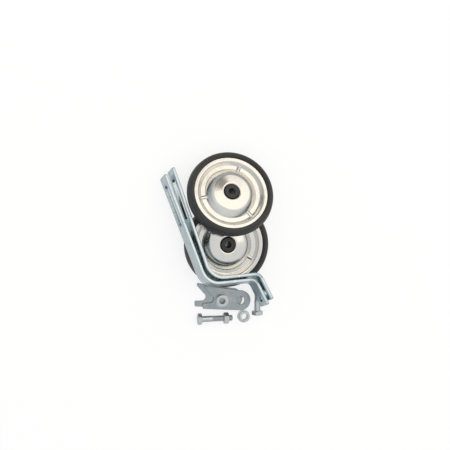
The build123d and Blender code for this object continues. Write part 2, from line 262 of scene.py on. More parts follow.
# %% Disc sizes
SHEET = 1.2 * MM
PRESS_RADIUS = 2.2 * MM
PRESS_RADII = PRESS_RADIUS * np.array([1.0, 4.0, 1.0, 1.0, 1.0])
TYRE_DEPTH = 8.3 * MM
RIM_BAND = 4.7 * MM
RIM_SLOPE = 4.0 * MM
RING_WIDTH = 6.0 * MM
BOSS_SLOPE = 8.0 * MM
RIM_HEIGHT = 6.1 * MM
BOSS_HEIGHT = 8.2 * MM
HUB_RADIUS = 9.0 * MM
HUB_HEIGHT = 9.9 * MM
COLLAR_DEPTH = 4.4 * MM
DISC_STEP = 0.45 * MM
EDGE_STEPS = 5

rim_outer = wheel_radius - TYRE_DEPTH
rim_inner = rim_outer - RIM_BAND
ring_outer = rim_inner - RIM_SLOPE
ring_inner = ring_outer - RING_WIDTH
boss_radius = ring_inner - BOSS_SLOPE
disc_radii = np.array([HUB_RADIUS, boss_radius, ring_inner, ring_outer, rim_inner, rim_outer])
print("hub, boss, ring and rim radii mm:", np.round(disc_radii / MM, 1).tolist())

# %% Beads across the joining ring
BEAD_RADIUS = 2.4 * MM
BEAD_HEIGHT = 1.5 * MM
BEAD_BLEND = 0.35 * MM
LEAST_LIFT = 0.02 * BEAD_BLEND
BEAD_ANGLES = {"upper": np.radians([69.0, 189.0, 309.0]), "lower": np.radians([90.5, 210.5, 330.5])}
DISC_COLUMNS = 200
near_bead = np.radians(np.linspace(-6, 6, 37))


def disc_angles(beads):
    """Angles of the grid's columns: even round the wheel and several times as close over each bead."""
    even = np.linspace(0, 2 * np.pi, DISC_COLUMNS, endpoint=False)
    near = (beads[:, None] + near_bead[None, :]).ravel() % (2 * np.pi)
    return np.unique(np.round(np.concatenate([even, near]), 6))


def bead_lift(radius, height, angles, beads):
    """How far the bars push the sheet up: the smooth greater of nothing and the bar's top less the sheet.

    The bar's top is a circle across the bead; the smooth greater is half the sum of the value and the root
    of its square plus the blend's square.
    """
    away = np.abs((angles[..., None] - beads + np.pi) % (2 * np.pi) - np.pi).min(-1)
    across = radius * np.sin(np.minimum(away, np.pi / 2))
    top = SHEET + BEAD_HEIGHT - BEAD_RADIUS + np.sqrt(np.maximum(BEAD_RADIUS**2 - across**2, 0))
    over = np.where(across < BEAD_RADIUS, top - height, -BEAD_RADIUS)
    lift = (over + np.sqrt(over**2 + BEAD_BLEND**2)) / 2
    return np.where(lift > LEAST_LIFT, lift, 0)


print("columns of a disc:", len(disc_angles(BEAD_ANGLES["upper"])))


# %% Disc surfaces
def disc_section():
    """Closed line of the sheet's skin, and the height of the sheet's middle at each of its points.

    The skin runs half a sheet square off the rounded middle line, out along the outer face and back along
    the inner one; a half circle joins them at the rim and at the hub.
    """
    mid = SHEET / 2
    corners = [
        (HUB_RADIUS + mid, HUB_HEIGHT - COLLAR_DEPTH),
        (HUB_RADIUS + mid, HUB_HEIGHT - mid),
        (boss_radius, BOSS_HEIGHT - mid),
        (ring_inner, mid),
        (ring_outer, mid),
        (rim_inner, RIM_HEIGHT - mid),
        (rim_outer - mid, RIM_HEIGHT - mid),
    ]
    line = rounded_line(corners, PRESS_RADII, DISC_STEP)
    square = side_of(line)
    swing = np.linspace(0, np.pi, EDGE_STEPS + 2)[1:-1, None]
    rim_way = np.array([square[-1, 1], -square[-1, 0]])
    hub_way = np.array([-square[0, 1], square[0, 0]])
    rim_edge = line[-1] + mid * (np.cos(swing) * square[-1] + np.sin(swing) * rim_way)
    hub_edge = line[0] + mid * (np.sin(swing) * hub_way - np.cos(swing) * square[0])
    skin = np.vstack([line + mid * square, rim_edge, (line - mid * square)[::-1], hub_edge])
    at_rim = np.full(EDGE_STEPS, line[-1, 1])
    at_hub = np.full(EDGE_STEPS, line[0, 1])
    return skin, np.concatenate([line[:, 1], at_rim, line[::-1, 1], at_hub])


def disc(name, wheel, facing):
    """The skin turned round the axle and lifted at the beads; a back half is turned over, end for end."""
    skin, middle = disc_section()
    beads = BEAD_ANGLES[wheel] * facing
    angles = disc_angles(beads % (2 * np.pi))[None, :]
    radius, height = skin[:, :1], skin[:, 1:]
    lift = bead_lift(radius, middle[:, None] + SHEET / 2, angles, beads)
    points = turned(radius, height + lift, angles)
    points[..., 1:] *= facing
    return surface(name, points, wheel_place[wheel + "_wheel"])


for wheel in ("upper", "lower"):
    for side, facing in (("front", 1), ("back", -1)):
        node = f"{wheel}_{side}_disc"
        dress(disc(node + "_shell", wheel, facing), wheel + "_wheel", "bright_steel", node)

# %% [markdown]
# ## The tyres
# The tyre is a solid rubber ring with an oval crown. It was cast in a two-part mould, so a thin rib runs
# round the middle of the tread, and each shoulder carries a fine groove where the mould's side plate began.
# The section below is one closed line; turning it makes the whole ring. Blender's own torus would be quicker,
# but it has no rib, groove or neck.

# %% Tyre surfaces
TYRE_CROWN_DEPTH = 6.2 * MM
TYRE_SHOULDER_HEIGHT = 6.4 * MM
SEAT = 0.06 * MM
PARTING_HEIGHT = 0.35 * MM
PARTING_WIDTH = 0.35 * MM
PARTING_FADE = np.radians(20)
SHOULDER_GROOVE = 0.25 * MM
GROOVE_ANGLE = np.radians(63)
GROOVE_WIDTH = np.radians(1.6)
SHOULDER_POINTS = 13
TYRE_COLUMNS = 256
crown_sweep = np.radians(np.concatenate([
    np.linspace(-90, -6, 44), np.linspace(-5.5, 5.5, 23), np.linspace(6, 90, 44)]))


def tyre_section():
    """Closed line of radius and height.

    Crown: a half ellipse, lowered a little except at the parting rib, which is a narrow bell curve, and
    lowered again by a narrower one at each shoulder's groove. Then a quarter ellipse in to the rim's edge
    on either side, and the neck between the disc halves.
    """
    edge = rim_outer + 4 * SEAT
    widest = wheel_radius - TYRE_CROWN_DEPTH
    neck = RIM_HEIGHT - SHEET - SEAT
    root = rim_inner - PRESS_RADIUS / 2
    from_middle = tyre_half_width * np.sin(crown_sweep)
    drop = PARTING_HEIGHT * (1 - np.exp(-((from_middle / PARTING_WIDTH) ** 2)))
    drop = drop * np.clip((np.radians(90) - np.abs(crown_sweep)) / PARTING_FADE, 0, 1)
    groove = np.exp(-(((np.abs(crown_sweep) - GROOVE_ANGLE) / GROOVE_WIDTH) ** 2))
    size = 1 - (drop + SHOULDER_GROOVE * groove) / TYRE_CROWN_DEPTH
    crown = np.stack([widest + TYRE_CROWN_DEPTH * np.cos(crown_sweep) * size, from_middle], 1)
    fall = np.linspace(0, np.pi / 2, SHOULDER_POINTS)[1:]
    rise = tyre_half_width - TYRE_SHOULDER_HEIGHT
    shoulder = np.stack([
        widest - (widest - edge) * np.sin(fall),
        TYRE_SHOULDER_HEIGHT + rise * np.cos(fall),
    ], 1)
    seat = np.array([(edge, neck), (rim_inner + PRESS_RADIUS, neck), (root, neck / 2)])
    upper = np.vstack([shoulder, seat])
    lower = upper[::-1] * [1, -1]
    return np.vstack([crown, upper, lower])


for wheel in ("upper", "lower"):
    node = wheel + "_tyre"
    ring = surface(node + "_ring", full_turn(tyre_section(), TYRE_COLUMNS), wheel_place[wheel + "_wheel"])
    dress(ring, wheel + "_wheel", "tyre_rubber", node)

# %% [markdown]
# ## The nylon bushes
# The wheel turns on a black nylon spool. Only its end faces show: a flat ring, a fine moulded step near its
# edge and the bore for the axle bolt with a small bevel. Its flange is trapped between the two collars. Like
# the tyre it is one closed line, turned.

# %% Bush surfaces
BUSH_PROUD = 0.3 * MM
RUNNING_GAP = 0.08 * MM
BORE_RADIUS = 4.15 * MM
BUSH_FLANGE_RADIUS = 12.5 * MM
BUSH_BEVEL = 0.4 * MM
FACE_STEP = 0.35 * MM
FACE_STEP_RADIUS = 7.4 * MM
BUSH_COLUMNS = 128


def bush_section():
    """Closed spool section: bore, bevel, stepped end face, journal, flange, and the same mirrored."""
    end = HUB_HEIGHT + BUSH_PROUD
    journal = HUB_RADIUS - RUNNING_GAP
    flange = HUB_HEIGHT - COLLAR_DEPTH - SHEET / 2 - 2 * RUNNING_GAP
    upper = np.array([
        (BORE_RADIUS, 0.0),
        (BORE_RADIUS, end - FACE_STEP - BUSH_BEVEL),
        (BORE_RADIUS + BUSH_BEVEL, end - FACE_STEP),
        (FACE_STEP_RADIUS - FACE_STEP, end - FACE_STEP),
        (FACE_STEP_RADIUS, end),
        (journal - BUSH_BEVEL, end),
        (journal, end - BUSH_BEVEL),
        (journal, flange),
        (BUSH_FLANGE_RADIUS, flange),
    ])
    return np.vstack([upper, upper[:0:-1] * [1, -1]])


for wheel in ("upper", "lower"):
    node = wheel + "_bush"
    spool = surface(node + "_spool", full_turn(bush_section(), BUSH_COLUMNS), wheel_place[wheel + "_wheel"])
    dress(spool, STILL_BODY, "black_nylon", node)

# %% [markdown]
# ## The bent arms
# Each arm is one flat bar that is punched and then bent. We work in the same order. On the bar as it lies
# before bending, a point has three numbers: how far along, how far across and how far off the middle
# sheet. Bending then carries every point along a line that turns evenly at each bend. A Curve object could
# sweep the bar too, but not with a slot and a hole in it.

# %% Arm sizes
BAR_WIDTH = 20.0 * MM
BAR_THICKNESS = 4.0 * MM
LONG_LEG = 144.5 * MM
OFFSET_LEG = 65.0 * MM
SHORT_LEG = 35.0 * MM
LONG_BEND = 76.5
SHORT_BEND = 71.0
LONG_BEND_RADIUS = 21.0 * MM
SHORT_BEND_RADIUS = 8.5 * MM
EXTRA_BEND = {"left_arm": 0.0, "right_arm": 2.0}
DRAWN_IN = 0.3
LINE_STEPS = 8000


# %% Bending
def bar_line(extra):
    """Table of the bar's middle line: run, x, y, heading and curvature.

    The heading stays level on a leg and climbs evenly on a bend, whose run is its radius times its turn.
    The place is the sum of short steps along the heading.
    """
    first, second = np.radians(LONG_BEND + extra), np.radians(SHORT_BEND)
    cut = LONG_BEND_RADIUS * np.tan(first / 2), SHORT_BEND_RADIUS * np.tan(second / 2)
    legs = LONG_LEG - cut[0], OFFSET_LEG - sum(cut), SHORT_LEG - cut[1]
    marks = np.cumsum([0, legs[0], LONG_BEND_RADIUS * first, legs[1], SHORT_BEND_RADIUS * second, legs[2]])
    run = np.linspace(0, marks[-1], LINE_STEPS + 1)
    heading = np.interp(run, marks, [0, 0, first, first, first - second, first - second])
    step = np.diff(run)[0]
    middle = (heading[1:] + heading[:-1]) / 2
    x = np.concatenate([[0], np.cumsum(np.cos(middle))]) * step - LONG_LEG
    y = np.concatenate([[0], np.cumsum(np.sin(middle))]) * step
    curve = np.gradient(heading, run)
    return {"marks": marks, "run": run, "x": x, "y": y, "heading": heading, "curve": curve}


def bent(flat, line):
    """Flat points (along, across, off) carried onto the bent bar; the outside of a bend draws in a little."""
    along, across, off = flat.T
    x, y, heading, curve = (np.interp(along, line["run"], line[k]) for k in ("x", "y", "heading", "curve"))
    across = across * (1 - DRAWN_IN * np.maximum(0, -off * curve))
    return np.stack([x - off * np.sin(heading), y + off * np.cos(heading), across], 1)


bar_lines = {node: bar_line(extra) for node, extra in EXTRA_BEND.items()}
print("flat lengths mm:", {node: round(line["marks"][-1] / MM, 1) for node, line in bar_lines.items()})

# %% [markdown]
# ### Loops on the flat bar
# The outline, the height slot and the axle hole are plain loops on the flat bar. A loop is built from
# straight sides and round corners, and every point carries the direction that leads out of the metal there.
# With that direction a loop grows into a wall that rounds over into both faces. Rolled edges are rounder
# than punched ones.

# %% Parts of a loop
def arc(centre, radius, start, end, count):
    """Points and outward directions of a round corner, angles in degrees."""
    swing = np.radians(np.linspace(start, end, count))
    ways = np.stack([np.cos(swing), np.sin(swing)], 1)
    return np.asarray(centre) + radius * ways, ways


def straight(points, way):
    """Part of a loop along a straight side."""
    return np.asarray(points, float), np.tile(np.asarray(way, float), (len(points), 1))


def joined(*parts):
    """One loop from parts that are pairs of points and directions."""
    return np.vstack([p for p, _ in parts]), np.vstack([w for _, w in parts])


# %% Loops of the bar
BAR_CORNER = 2.0 * MM
SIDE_CLEAR = 1.5 * BAR_CORNER
END_CLEAR = 2 * BAR_CORNER
SLOT_WIDTH = 10.5 * MM
SLOT_LENGTH = 55.0 * MM
SLOT_FROM_END = 12.0 * MM
AXLE_HOLE_RADIUS = 4.2 * MM
AXLE_HOLE_FROM_END = 10.0 * MM
SIDE_POINTS = (40, 41, 12, 25, 8)
CORNER_POINTS = 6
SLOT_POINTS = 17
HOLE_POINTS = 41


def outline_loop(line):
    """Rounded rectangle of the bar; its long sides are stepped finely on the bends."""
    marks, half, c = line["marks"], BAR_WIDTH / 2, BAR_CORNER
    length = marks[-1]
    steps = [np.linspace(a, b, n)[1:] for a, b, n in zip(marks[:-1], marks[1:], SIDE_POINTS)]
    along = np.concatenate(steps)[:-1]
    along = along[(along > SIDE_CLEAR) & (along < length - SIDE_CLEAR)]
    up = np.linspace(-half + END_CLEAR, half - END_CLEAR, CORNER_POINTS)
    side = np.full_like(along, half)
    end = np.full_like(up, length)
    return joined(
        straight(np.stack([along, -side], 1), (0, -1)),
        arc((length - c, c - half), c, -90, 0, CORNER_POINTS),
        straight(np.stack([end, up], 1), (1, 0)),
        arc((length - c, half - c), c, 0, 90, CORNER_POINTS),
        straight(np.stack([along, side], 1)[::-1], (0, 1)),
        arc((c, half - c), c, 90, 180, CORNER_POINTS),
        straight(np.stack([0 * end, up], 1)[::-1], (-1, 0)),
        arc((c, c - half), c, 180, 270, CORNER_POINTS),
    )


def slot_loop():
    """Two half circles joined by straight sides; the way out of the metal points into the slot."""
    r = SLOT_WIDTH / 2
    near, far = SLOT_FROM_END + r, SLOT_FROM_END + SLOT_LENGTH - r
    along = np.linspace(near, far, SLOT_POINTS)[1:-1]
    side = np.full_like(along, r)
    points, ways = joined(
        arc((far, 0), r, -90, 90, SLOT_POINTS),
        straight(np.stack([along, side], 1)[::-1], (0, 1)),
        arc((near, 0), r, 90, 270, SLOT_POINTS),
        straight(np.stack([along, -side], 1), (0, -1)),
    )
    return points, -ways


def hole_loop(line):
    """Full circle of the axle hole; the way out of the metal points into the hole."""
    centre = line["marks"][-1] - AXLE_HOLE_FROM_END, 0
    points, ways = arc(centre, AXLE_HOLE_RADIUS, 0, 360, HOLE_POINTS)
    return points[:-1], -ways[:-1]


print("points round the slot:", len(slot_loop()[0]))
print("points round a bar:", len(outline_loop(bar_lines["left_arm"])[0]))

# %% Walls
BAR_EDGE = 1.05 * MM
PUNCH_EDGE = 0.3 * MM
ROUND_POINTS = 6


def edge_wall(loop, rounding):
    """Wall round a loop from one face of the bar to the other, with a quarter circle at each rim."""
    points, ways = loop
    swing = np.linspace(0, np.pi / 2, ROUND_POINTS)
    inset = rounding * (1 - np.sin(swing))
    off = BAR_THICKNESS / 2 - rounding * (1 - np.cos(swing))
    inset, off = np.concatenate([inset, inset[::-1]]), np.concatenate([off, -off[::-1]])
    spots = points[None] - inset[:, None, None] * ways[None]
    return np.concatenate([spots, np.broadcast_to(off[:, None, None], spots.shape[:2] + (1,))], -1)


print("rows and columns of the slot's wall:", edge_wall(slot_loop(), PUNCH_EDGE).shape[:2])

# %% [markdown]
# ### Faces between the loops
# A flat face with holes is no plain grid. Blender's Delaunay function lays a net of triangles over the three
# rims and a loose lattice of points between them, and the triangles inside the slot and the hole are thrown
# away. The lattice gives the face enough points to follow the bends.

# %% Net of a face
LATTICE_MARGIN_MM = 3
LATTICE_STEP_MM = 1.5
LATTICE_ROWS = np.linspace(-7, 7, 5) * MM
LATTICE_CLEAR = 1.2 * MM
NET_REACH_MM = 1e-5
KEEP_INSIDE = 1


def from_holes(spots, line):
    """Distance of flat points from the nearer edge of the slot and the axle hole, below zero inside."""
    along, across = spots.T
    past = np.abs(along - SLOT_FROM_END - SLOT_LENGTH / 2) - (SLOT_LENGTH - SLOT_WIDTH) / 2
    slot = np.hypot(np.maximum(past, 0), across) - SLOT_WIDTH / 2
    hole = np.hypot(along - line["marks"][-1] + AXLE_HOLE_FROM_END, across) - AXLE_HOLE_RADIUS
    return np.minimum(slot, hole)


def face_net(rims, line):
    """Triangles between the rims: the net with the fewest slivers over the rims and an inner lattice."""
    last_mm = line["marks"][-1] / MM - LATTICE_MARGIN_MM
    along = np.arange(LATTICE_MARGIN_MM, last_mm, LATTICE_STEP_MM) * MM
    lattice = np.stack(np.meshgrid(along, LATTICE_ROWS, indexing="ij"), -1).reshape(-1, 2)
    lattice = lattice[from_holes(lattice, line) > LATTICE_CLEAR]
    starts = np.cumsum([0] + [len(rim) for rim in rims])
    rounds = [np.arange(first, after) for first, after in zip(starts, starts[1:])]
    edges = np.vstack([np.stack([r, np.roll(r, -1)], 1) for r in rounds]).tolist()
    spots_mm = [Vector(p) for p in np.vstack([*rims, lattice]) / MM]
    net = delaunay_2d_cdt(spots_mm, edges, [], KEEP_INSIDE, NET_REACH_MM)
    spots = np.array([tuple(p) for p in net[0]]) * MM
    triangles = np.array(net[2])
    return spots, triangles[from_holes(spots[triangles].mean(1), line) > PUNCH_EDGE]


# %% [markdown]
# ### The arms in their places
# The frame tells where an arm lies: its slot and its axle hole are mounts, each with a point and a
# direction. The walls and faces are bent, carried there and welded along their rims into one closed skin.

# %% Arm surfaces
WELD_REACH = 2e-6
mounts = {mount["name"]: mount for mount in frame["record"]["mounts"]}


def arm_place(node, line):
    """Turn and shift of an arm: the slot's direction, and the straight way from the slot to the axle hole."""
    slot, hole = mounts[node + "_height_slot"], mounts[node + "_axle_hole"]
    y_way = np.array(slot["axis"]) * np.sign(slot["axis"][0])
    reach = np.array(hole["pos_m"]) - np.array(slot["pos_m"])
    hole_run = line["marks"][-1] - AXLE_HOLE_FROM_END
    hole_x, hole_y = (np.interp(hole_run, line["run"], line[k]) for k in "xy")
    slot_x = SLOT_FROM_END + SLOT_LENGTH / 2 - LONG_LEG
    x_way = (reach - hole_y * y_way) / (hole_x - slot_x)
    return np.column_stack([x_way, y_way, np.cross(x_way, y_way)]), np.array(slot["pos_m"]) - slot_x * x_way


def face_outward(skin):
    """Last step of an arm: all faces of the closed skin point out."""
    bmesh.ops.recalc_face_normals(skin, faces=skin.faces)


def arm(node):
    """Walls of the three loops and the two faces between them, bent, carried to their place and welded."""
    line = bar_lines[node]
    loops = [(outline_loop(line), BAR_EDGE), (slot_loop(), PUNCH_EDGE), (hole_loop(line), PUNCH_EDGE)]
    walls = [edge_wall(loop, rounding) for loop, rounding in loops]
    spots, triangles = face_net([wall[0, :, :2] for wall in walls], line)
    half = np.full((len(spots), 1), BAR_THICKNESS / 2)
    sheets = [(wall.reshape(-1, 3), grid_faces(*wall.shape[:2], False, True)) for wall in walls]
    sheets += [(np.hstack([spots, half]), triangles), (np.hstack([spots, -half]), triangles[:, ::-1])]
    starts = np.cumsum([0] + [len(points) for points, _ in sheets])
    flat = np.vstack([points for points, _ in sheets])
    faces = [face for (_, part), start in zip(sheets, starts) for face in (part + start).tolist()]
    turn, shift = arm_place(node, line)
    mesh = bpy.data.meshes.new(node + "_bar")
    mesh.from_pydata(bent(flat, line) @ turn.T + shift, [], faces)
    keep_own_place(mesh, flat)
    merged(mesh, WELD_REACH, face_outward)
    mesh.set_sharp_from_angle(angle=SHARP_ANGLE)
    piece = shown(mesh)
    piece.modifiers.new("calm_faces", "WEIGHTED_NORMAL")
    return piece


for node in EXTRA_BEND:
    dress(arm(node), STILL_BODY, "zinc_bar", node)

# %% [markdown]
# ## Finding each fixing
# Bolts, nuts and washers come in the frame as groups of plain solids. Each group's mesh is loose triangles,
# so we first find its islands: every corner takes the lowest number among the corners that it shares a
# triangle with, again and again, until each island has one number. An island's box then says where one
# bolt or washer lies. Typing the places in would be shorter, but wrong as soon as the frame moved one.

# %% Islands of a group
def islands(node):
    """Lowest and highest corner of each separate solid in a node, from its triangles' merged corners."""
    mesh = nodes[node].data
    mesh.calc_loop_triangles()
    spots = np.empty(len(mesh.vertices) * 3)
    mesh.vertices.foreach_get("co", spots)
    corners = np.empty(len(mesh.loop_triangles) * 3, np.int32)
    mesh.loop_triangles.foreach_get("vertices", corners)
    spots, merged_to = np.unique(np.round(spots.reshape(-1, 3), 6), axis=0, return_inverse=True)
    triangles = merged_to.ravel()[corners].reshape(-1, 3)
    number = np.arange(len(spots))
    while True:
        before = number.copy()
        np.minimum.at(number, triangles.ravel(), np.repeat(number[triangles].min(1), 3))
        number = number[number]
        if np.array_equal(before, number):
            break
    print(node, "islands:", len(np.unique(number)))
    return [(spots[number == k].min(0), spots[number == k].max(0)) for k in np.unique(number)]


# %% [markdown]
# ## Bolts and nuts
# A bolt's head and its nut are hexagons turned to a cone at both ends, which leaves the curved edges that
# every hexagon head shows. The bolts get a real thread: a ridge that climbs one pitch for every turn. A
# bolt is one grid from the middle of the head to the middle of the tip, and a nut is a ring. A Screw modifier
# could wind the thread, but it would have to be joined to the head.

# %% Hexagons
HEX_FLATS = 13.0 * MM
HEX_TURNED = 6.25 * MM
HEX_BROKEN_CORNER = 0.99
HEX_CONE_ROWS = np.linspace(0, 0.9 * MM, 10)
around = np.radians(np.arange(0, 360, 5))


def hex_reach(angles):
    """Way from the axis to a hexagon's side: half the flats over the cosine of the angle from its middle.

    The bar that a hexagon is made from has its corners broken by a hundredth.
    """
    side = HEX_FLATS / 2 / np.cos(angles % (np.pi / 3) - np.pi / 6)
    return np.minimum(side, HEX_BROKEN_CORNER * HEX_FLATS / np.sqrt(3))


def hex_side(low, high):
    """Rows of a hexagon's side wall between two heights; both ends are turned to a cone of 30 degrees."""
    heights = np.concatenate([low + HEX_CONE_ROWS, high - HEX_CONE_ROWS[::-1]])
    from_end = np.minimum(heights - low, high - heights)
    cone = HEX_TURNED + from_end * np.sqrt(3)
    return np.minimum(hex_reach(around)[None, :], cone[:, None]), np.tile(heights[:, None], around.size)


print("hexagon over corners mm:", round(2 * hex_reach(around).max() / MM, 2))

# %% Bolts
HEAD_HEIGHT = 5.3 * MM
HEAD_INNER_ROW = 3.0 * MM
BOLT_RADIUS = 4.0 * MM
BOLT_LENGTH = 40.0 * MM
NECK_ROUND = 0.4 * MM
NECK_HEIGHT = 0.3 * MM
THREAD_PITCH = 1.25 * MM
THREAD_DEPTH = 0.72 * MM
THREAD_START = 12.5 * MM
THREAD_CREST = 0.12
THREAD_FLANK = 0.78
THREAD_ROWS = 10
TIP_BEVEL = 0.8 * MM
THREAD_GAP = 0.05 * MM


def bolt_grid():
    """Rows from the middle of the head's top, down its side and along the shank to the middle of the tip.

    Thread: the radius drops by the depth times a clipped zigzag of height over pitch less the share of a
    turn; it grows in over two pitches, and a cone cuts the tip.
    """
    side_r, side_z = hex_side(-HEAD_HEIGHT, 0.0)
    plain = np.linspace(NECK_HEIGHT, THREAD_START, 5)[:-1]
    cut = np.arange(THREAD_START, BOLT_LENGTH, THREAD_PITCH / THREAD_ROWS)
    heights = np.concatenate([plain, cut, [BOLT_LENGTH]])[:, None]
    climb = (heights / THREAD_PITCH - around[None, :] / (2 * np.pi)) % 1
    tooth = np.clip((np.abs(2 * climb - 1) - THREAD_CREST) / THREAD_FLANK, 0, 1)
    grown = np.clip((heights - THREAD_START) / (2 * THREAD_PITCH), 0, 1)
    shank_r = BOLT_RADIUS - THREAD_DEPTH * tooth * grown
    shank_r = np.minimum(shank_r, BOLT_RADIUS - TIP_BEVEL - THREAD_GAP + (BOLT_LENGTH - heights))
    shank_z = np.broadcast_to(heights, shank_r.shape)
    flat = np.ones((1, around.size))
    rows_r = [0 * flat, HEAD_INNER_ROW * flat, side_r, (BOLT_RADIUS + NECK_ROUND) * flat, shank_r, 0 * flat]
    rows_z = [-HEAD_HEIGHT * flat, -HEAD_HEIGHT * flat, side_z, 0 * flat, shank_z, BOLT_LENGTH * flat]
    return turned(np.vstack(rows_r), np.vstack(rows_z), around[None, :])


print("rows of a bolt:", len(bolt_grid()))

# %% Nuts
NUT_HEIGHT = 6.5 * MM
NUT_FROM_TIP = 5.0 * MM
NUT_MOUTH = 0.5 * MM


def nut_grid():
    """Closed rows of a nut: up its hexagon side, in over the top, down the bevelled bore and out below."""
    side_r, side_z = hex_side(0.0, NUT_HEIGHT)
    bore = BOLT_RADIUS + THREAD_GAP
    inner = np.array([
        (bore + NUT_MOUTH, NUT_HEIGHT),
        (bore, NUT_HEIGHT - NUT_MOUTH),
        (bore, NUT_MOUTH),
        (bore + NUT_MOUTH, 0.0),
    ])
    flat = np.ones((1, around.size))
    radii = np.vstack([side_r, inner[:, :1] * flat])
    return turned(radii, np.vstack([side_z, inner[:, 1:] * flat]), around[None, :])


print("rows of a nut:", len(nut_grid()))


# %% Bolts and nuts in their places
def lying_place(low, high):
    """Place of a bolt in its box: along x or y by the longer side, its head at the lower end, flats down."""
    lengthwise = int(high[1] - low[1] > high[0] - low[0])
    way = np.eye(3)[lengthwise]
    up = np.array([0.0, 0.0, 1.0])
    under_head = np.where(way > 0, low + HEAD_HEIGHT, (low + high) / 2)
    return np.column_stack([np.cross(up, way), up, way]), under_head


for number, box in enumerate(islands("axle_bolts"), 1):
    turn, under_head = lying_place(*box)
    bolt = surface(f"axle_bolt_{number}", bolt_grid(), (turn, under_head), close_rows=False)
    dress(bolt, STILL_BODY, "zinc_fixings", "axle_bolts")
    under_nut = under_head + (BOLT_LENGTH - NUT_FROM_TIP - NUT_HEIGHT) * turn[:, 2]
    nut = surface(f"axle_nut_{number}", nut_grid(), (turn, under_nut))
    dress(nut, STILL_BODY, "zinc_fixings", "axle_nuts")

# %% [markdown]
# ## Washers
# A flat washer is stamped, so its section is a rectangle with rounded corners, turned full circle. A spring
# washer is a bar of a similar section, wound to just under one turn, so it climbs a little and leaves a gap.
# Two cylinders and a boolean would make the flat one, but with sharp rims.

# %% Washers
WASHER_OUTER = 8.0 * MM
WASHER_INNER = 4.2 * MM
WASHER_THICKNESS = 1.6 * MM
WASHER_ROUND = 0.35 * MM
SPRING_OUTER = 7.2 * MM
SPRING_INNER = 4.15 * MM
SPRING_THICKNESS = 1.55 * MM
SPRING_ROUND = 0.2 * MM
SPRING_LIFT = 0.45 * MM
SPRING_GAP = 1.2 * MM
SPRING_COLUMNS = 73
SPRING_TURNS = np.radians([140.0, 250.0])


def ring_section(inner, outer, height, rounding):
    """Closed section of a ring: a rectangle whose four corners are quarter circles."""
    left, right = inner + rounding, outer - rounding
    low, high = rounding, height - rounding
    centres = np.array([(right, high), (left, high), (left, low), (right, low)])
    swing = np.radians(np.linspace(0, 90, 5))[None, :] + np.radians([0, 90, 180, 270])[:, None]
    ways = np.stack([np.cos(swing), np.sin(swing)], -1)
    return (centres[:, None] + rounding * ways).reshape(-1, 2)


def spring_grid(start):
    """A nearly full turn of the section that climbs evenly; each end closes on the section's middle."""
    section = ring_section(SPRING_INNER, SPRING_OUTER, SPRING_THICKNESS, SPRING_ROUND)
    half_gap = SPRING_GAP / (SPRING_INNER + SPRING_OUTER)
    share = np.linspace(0, 1, SPRING_COLUMNS)[None, :]
    swing = start + half_gap + share * (2 * np.pi - 2 * half_gap)
    turn = turned(section[:, :1], section[:, 1:] + SPRING_LIFT * share, swing)
    middle = np.broadcast_to(turn.mean(0, keepdims=True), turn.shape)
    return np.concatenate([middle[:, :1], turn, middle[:, -1:]], 1)


def upright_place(low, high):
    """Place of a piece whose own axis stays upright in the middle of its box, with its underside below."""
    return np.eye(3), np.array([*((low + high) / 2)[:2], low[2]])


stamped = ring_section(WASHER_INNER, WASHER_OUTER, WASHER_THICKNESS, WASHER_ROUND)
washer_grid = turned(stamped[:, :1], stamped[:, 1:], around[None, :])
for number, box in enumerate(islands("flat_washers"), 1):
    washer = surface(f"flat_washer_{number}", washer_grid, upright_place(*box))
    dress(washer, STILL_BODY, "zinc_fixings", "flat_washers")
for number, (box, start) in enumerate(zip(islands("spring_washers"), SPRING_TURNS), 1):
    spring = surface(f"spring_washer_{number}", spring_grid(start), upright_place(*box), close_columns=False)
    dress(spring, STILL_BODY, "zinc_fixings", "spring_washers")

# %% [markdown]
# ## The fork brackets
# Each bracket is a stamped plate, and the frame already holds its outline and its holes exactly. What the
# solid lacks is the small round that the punch leaves on every rim. Drawing the outline anew would say the
# same thing twice, so a copy of the solid's mesh is merged into one skin, the lines across its flats are
# dissolved, and a Bevel modifier rounds what is left: the rims.

# %% Bracket plates
RIM_ROUND = 0.35 * MM
RIM_SEGMENTS = 3
RIM_ANGLE = np.radians(40)
FLAT_ANGLE = np.radians(0.5)
PLATE_REACH = 1e-6


def clear_flats(skin):
    """Last step of a plate: lines between faces in one plane are dissolved."""
    bmesh.ops.dissolve_limit(skin, angle_limit=FLAT_ANGLE, verts=skin.verts, edges=skin.edges)


def stamped_plate(node):
    """Copy of a plate's mesh as one skin with clear flats and rounded rims."""
    mesh = nodes[node].data.copy()
    mesh.name = node + "_plate"
    merged(mesh, PLATE_REACH, clear_flats)
    piece = shown(mesh)
    rim = piece.modifiers.new("rim", "BEVEL")
    rim.width = RIM_ROUND
    rim.segments = RIM_SEGMENTS
    rim.limit_method = "ANGLE"
    rim.angle_limit = RIM_ANGLE
    rim.harden_normals = True
    return piece


for node in ("lower_fork_bracket", "upper_fork_bracket"):
    dress(stamped_plate(node), STILL_BODY, "zinc_plate", node)
print("pieces:", len(pieces))

# %% [markdown]
# ## Finishes
# An effect that several materials share is a node group with named sockets: fine scratches, the slow
# patches that hands and air leave, and thin rings round the axle. The groups only hand out
# masks and heights. Each material keeps its own shader and its own constant values. A few short helpers
# keep the node trees readable.

# %% Node helpers
def plug(tree, node, links):
    """Each named input takes a value, or a link where another node's socket is given."""
    for name, value in links.items():
        if isinstance(value, bpy.types.NodeSocket):
            tree.links.new(value, node.inputs[name])
        else:
            node.inputs[name].default_value = value


def add(tree, kind, links=None, **settings):
    """New node: keyword settings go to the node itself, links to its inputs."""
    node = tree.nodes.new(kind)
    for name, value in settings.items():
        setattr(node, name, value)
    plug(tree, node, links or {})
    return node


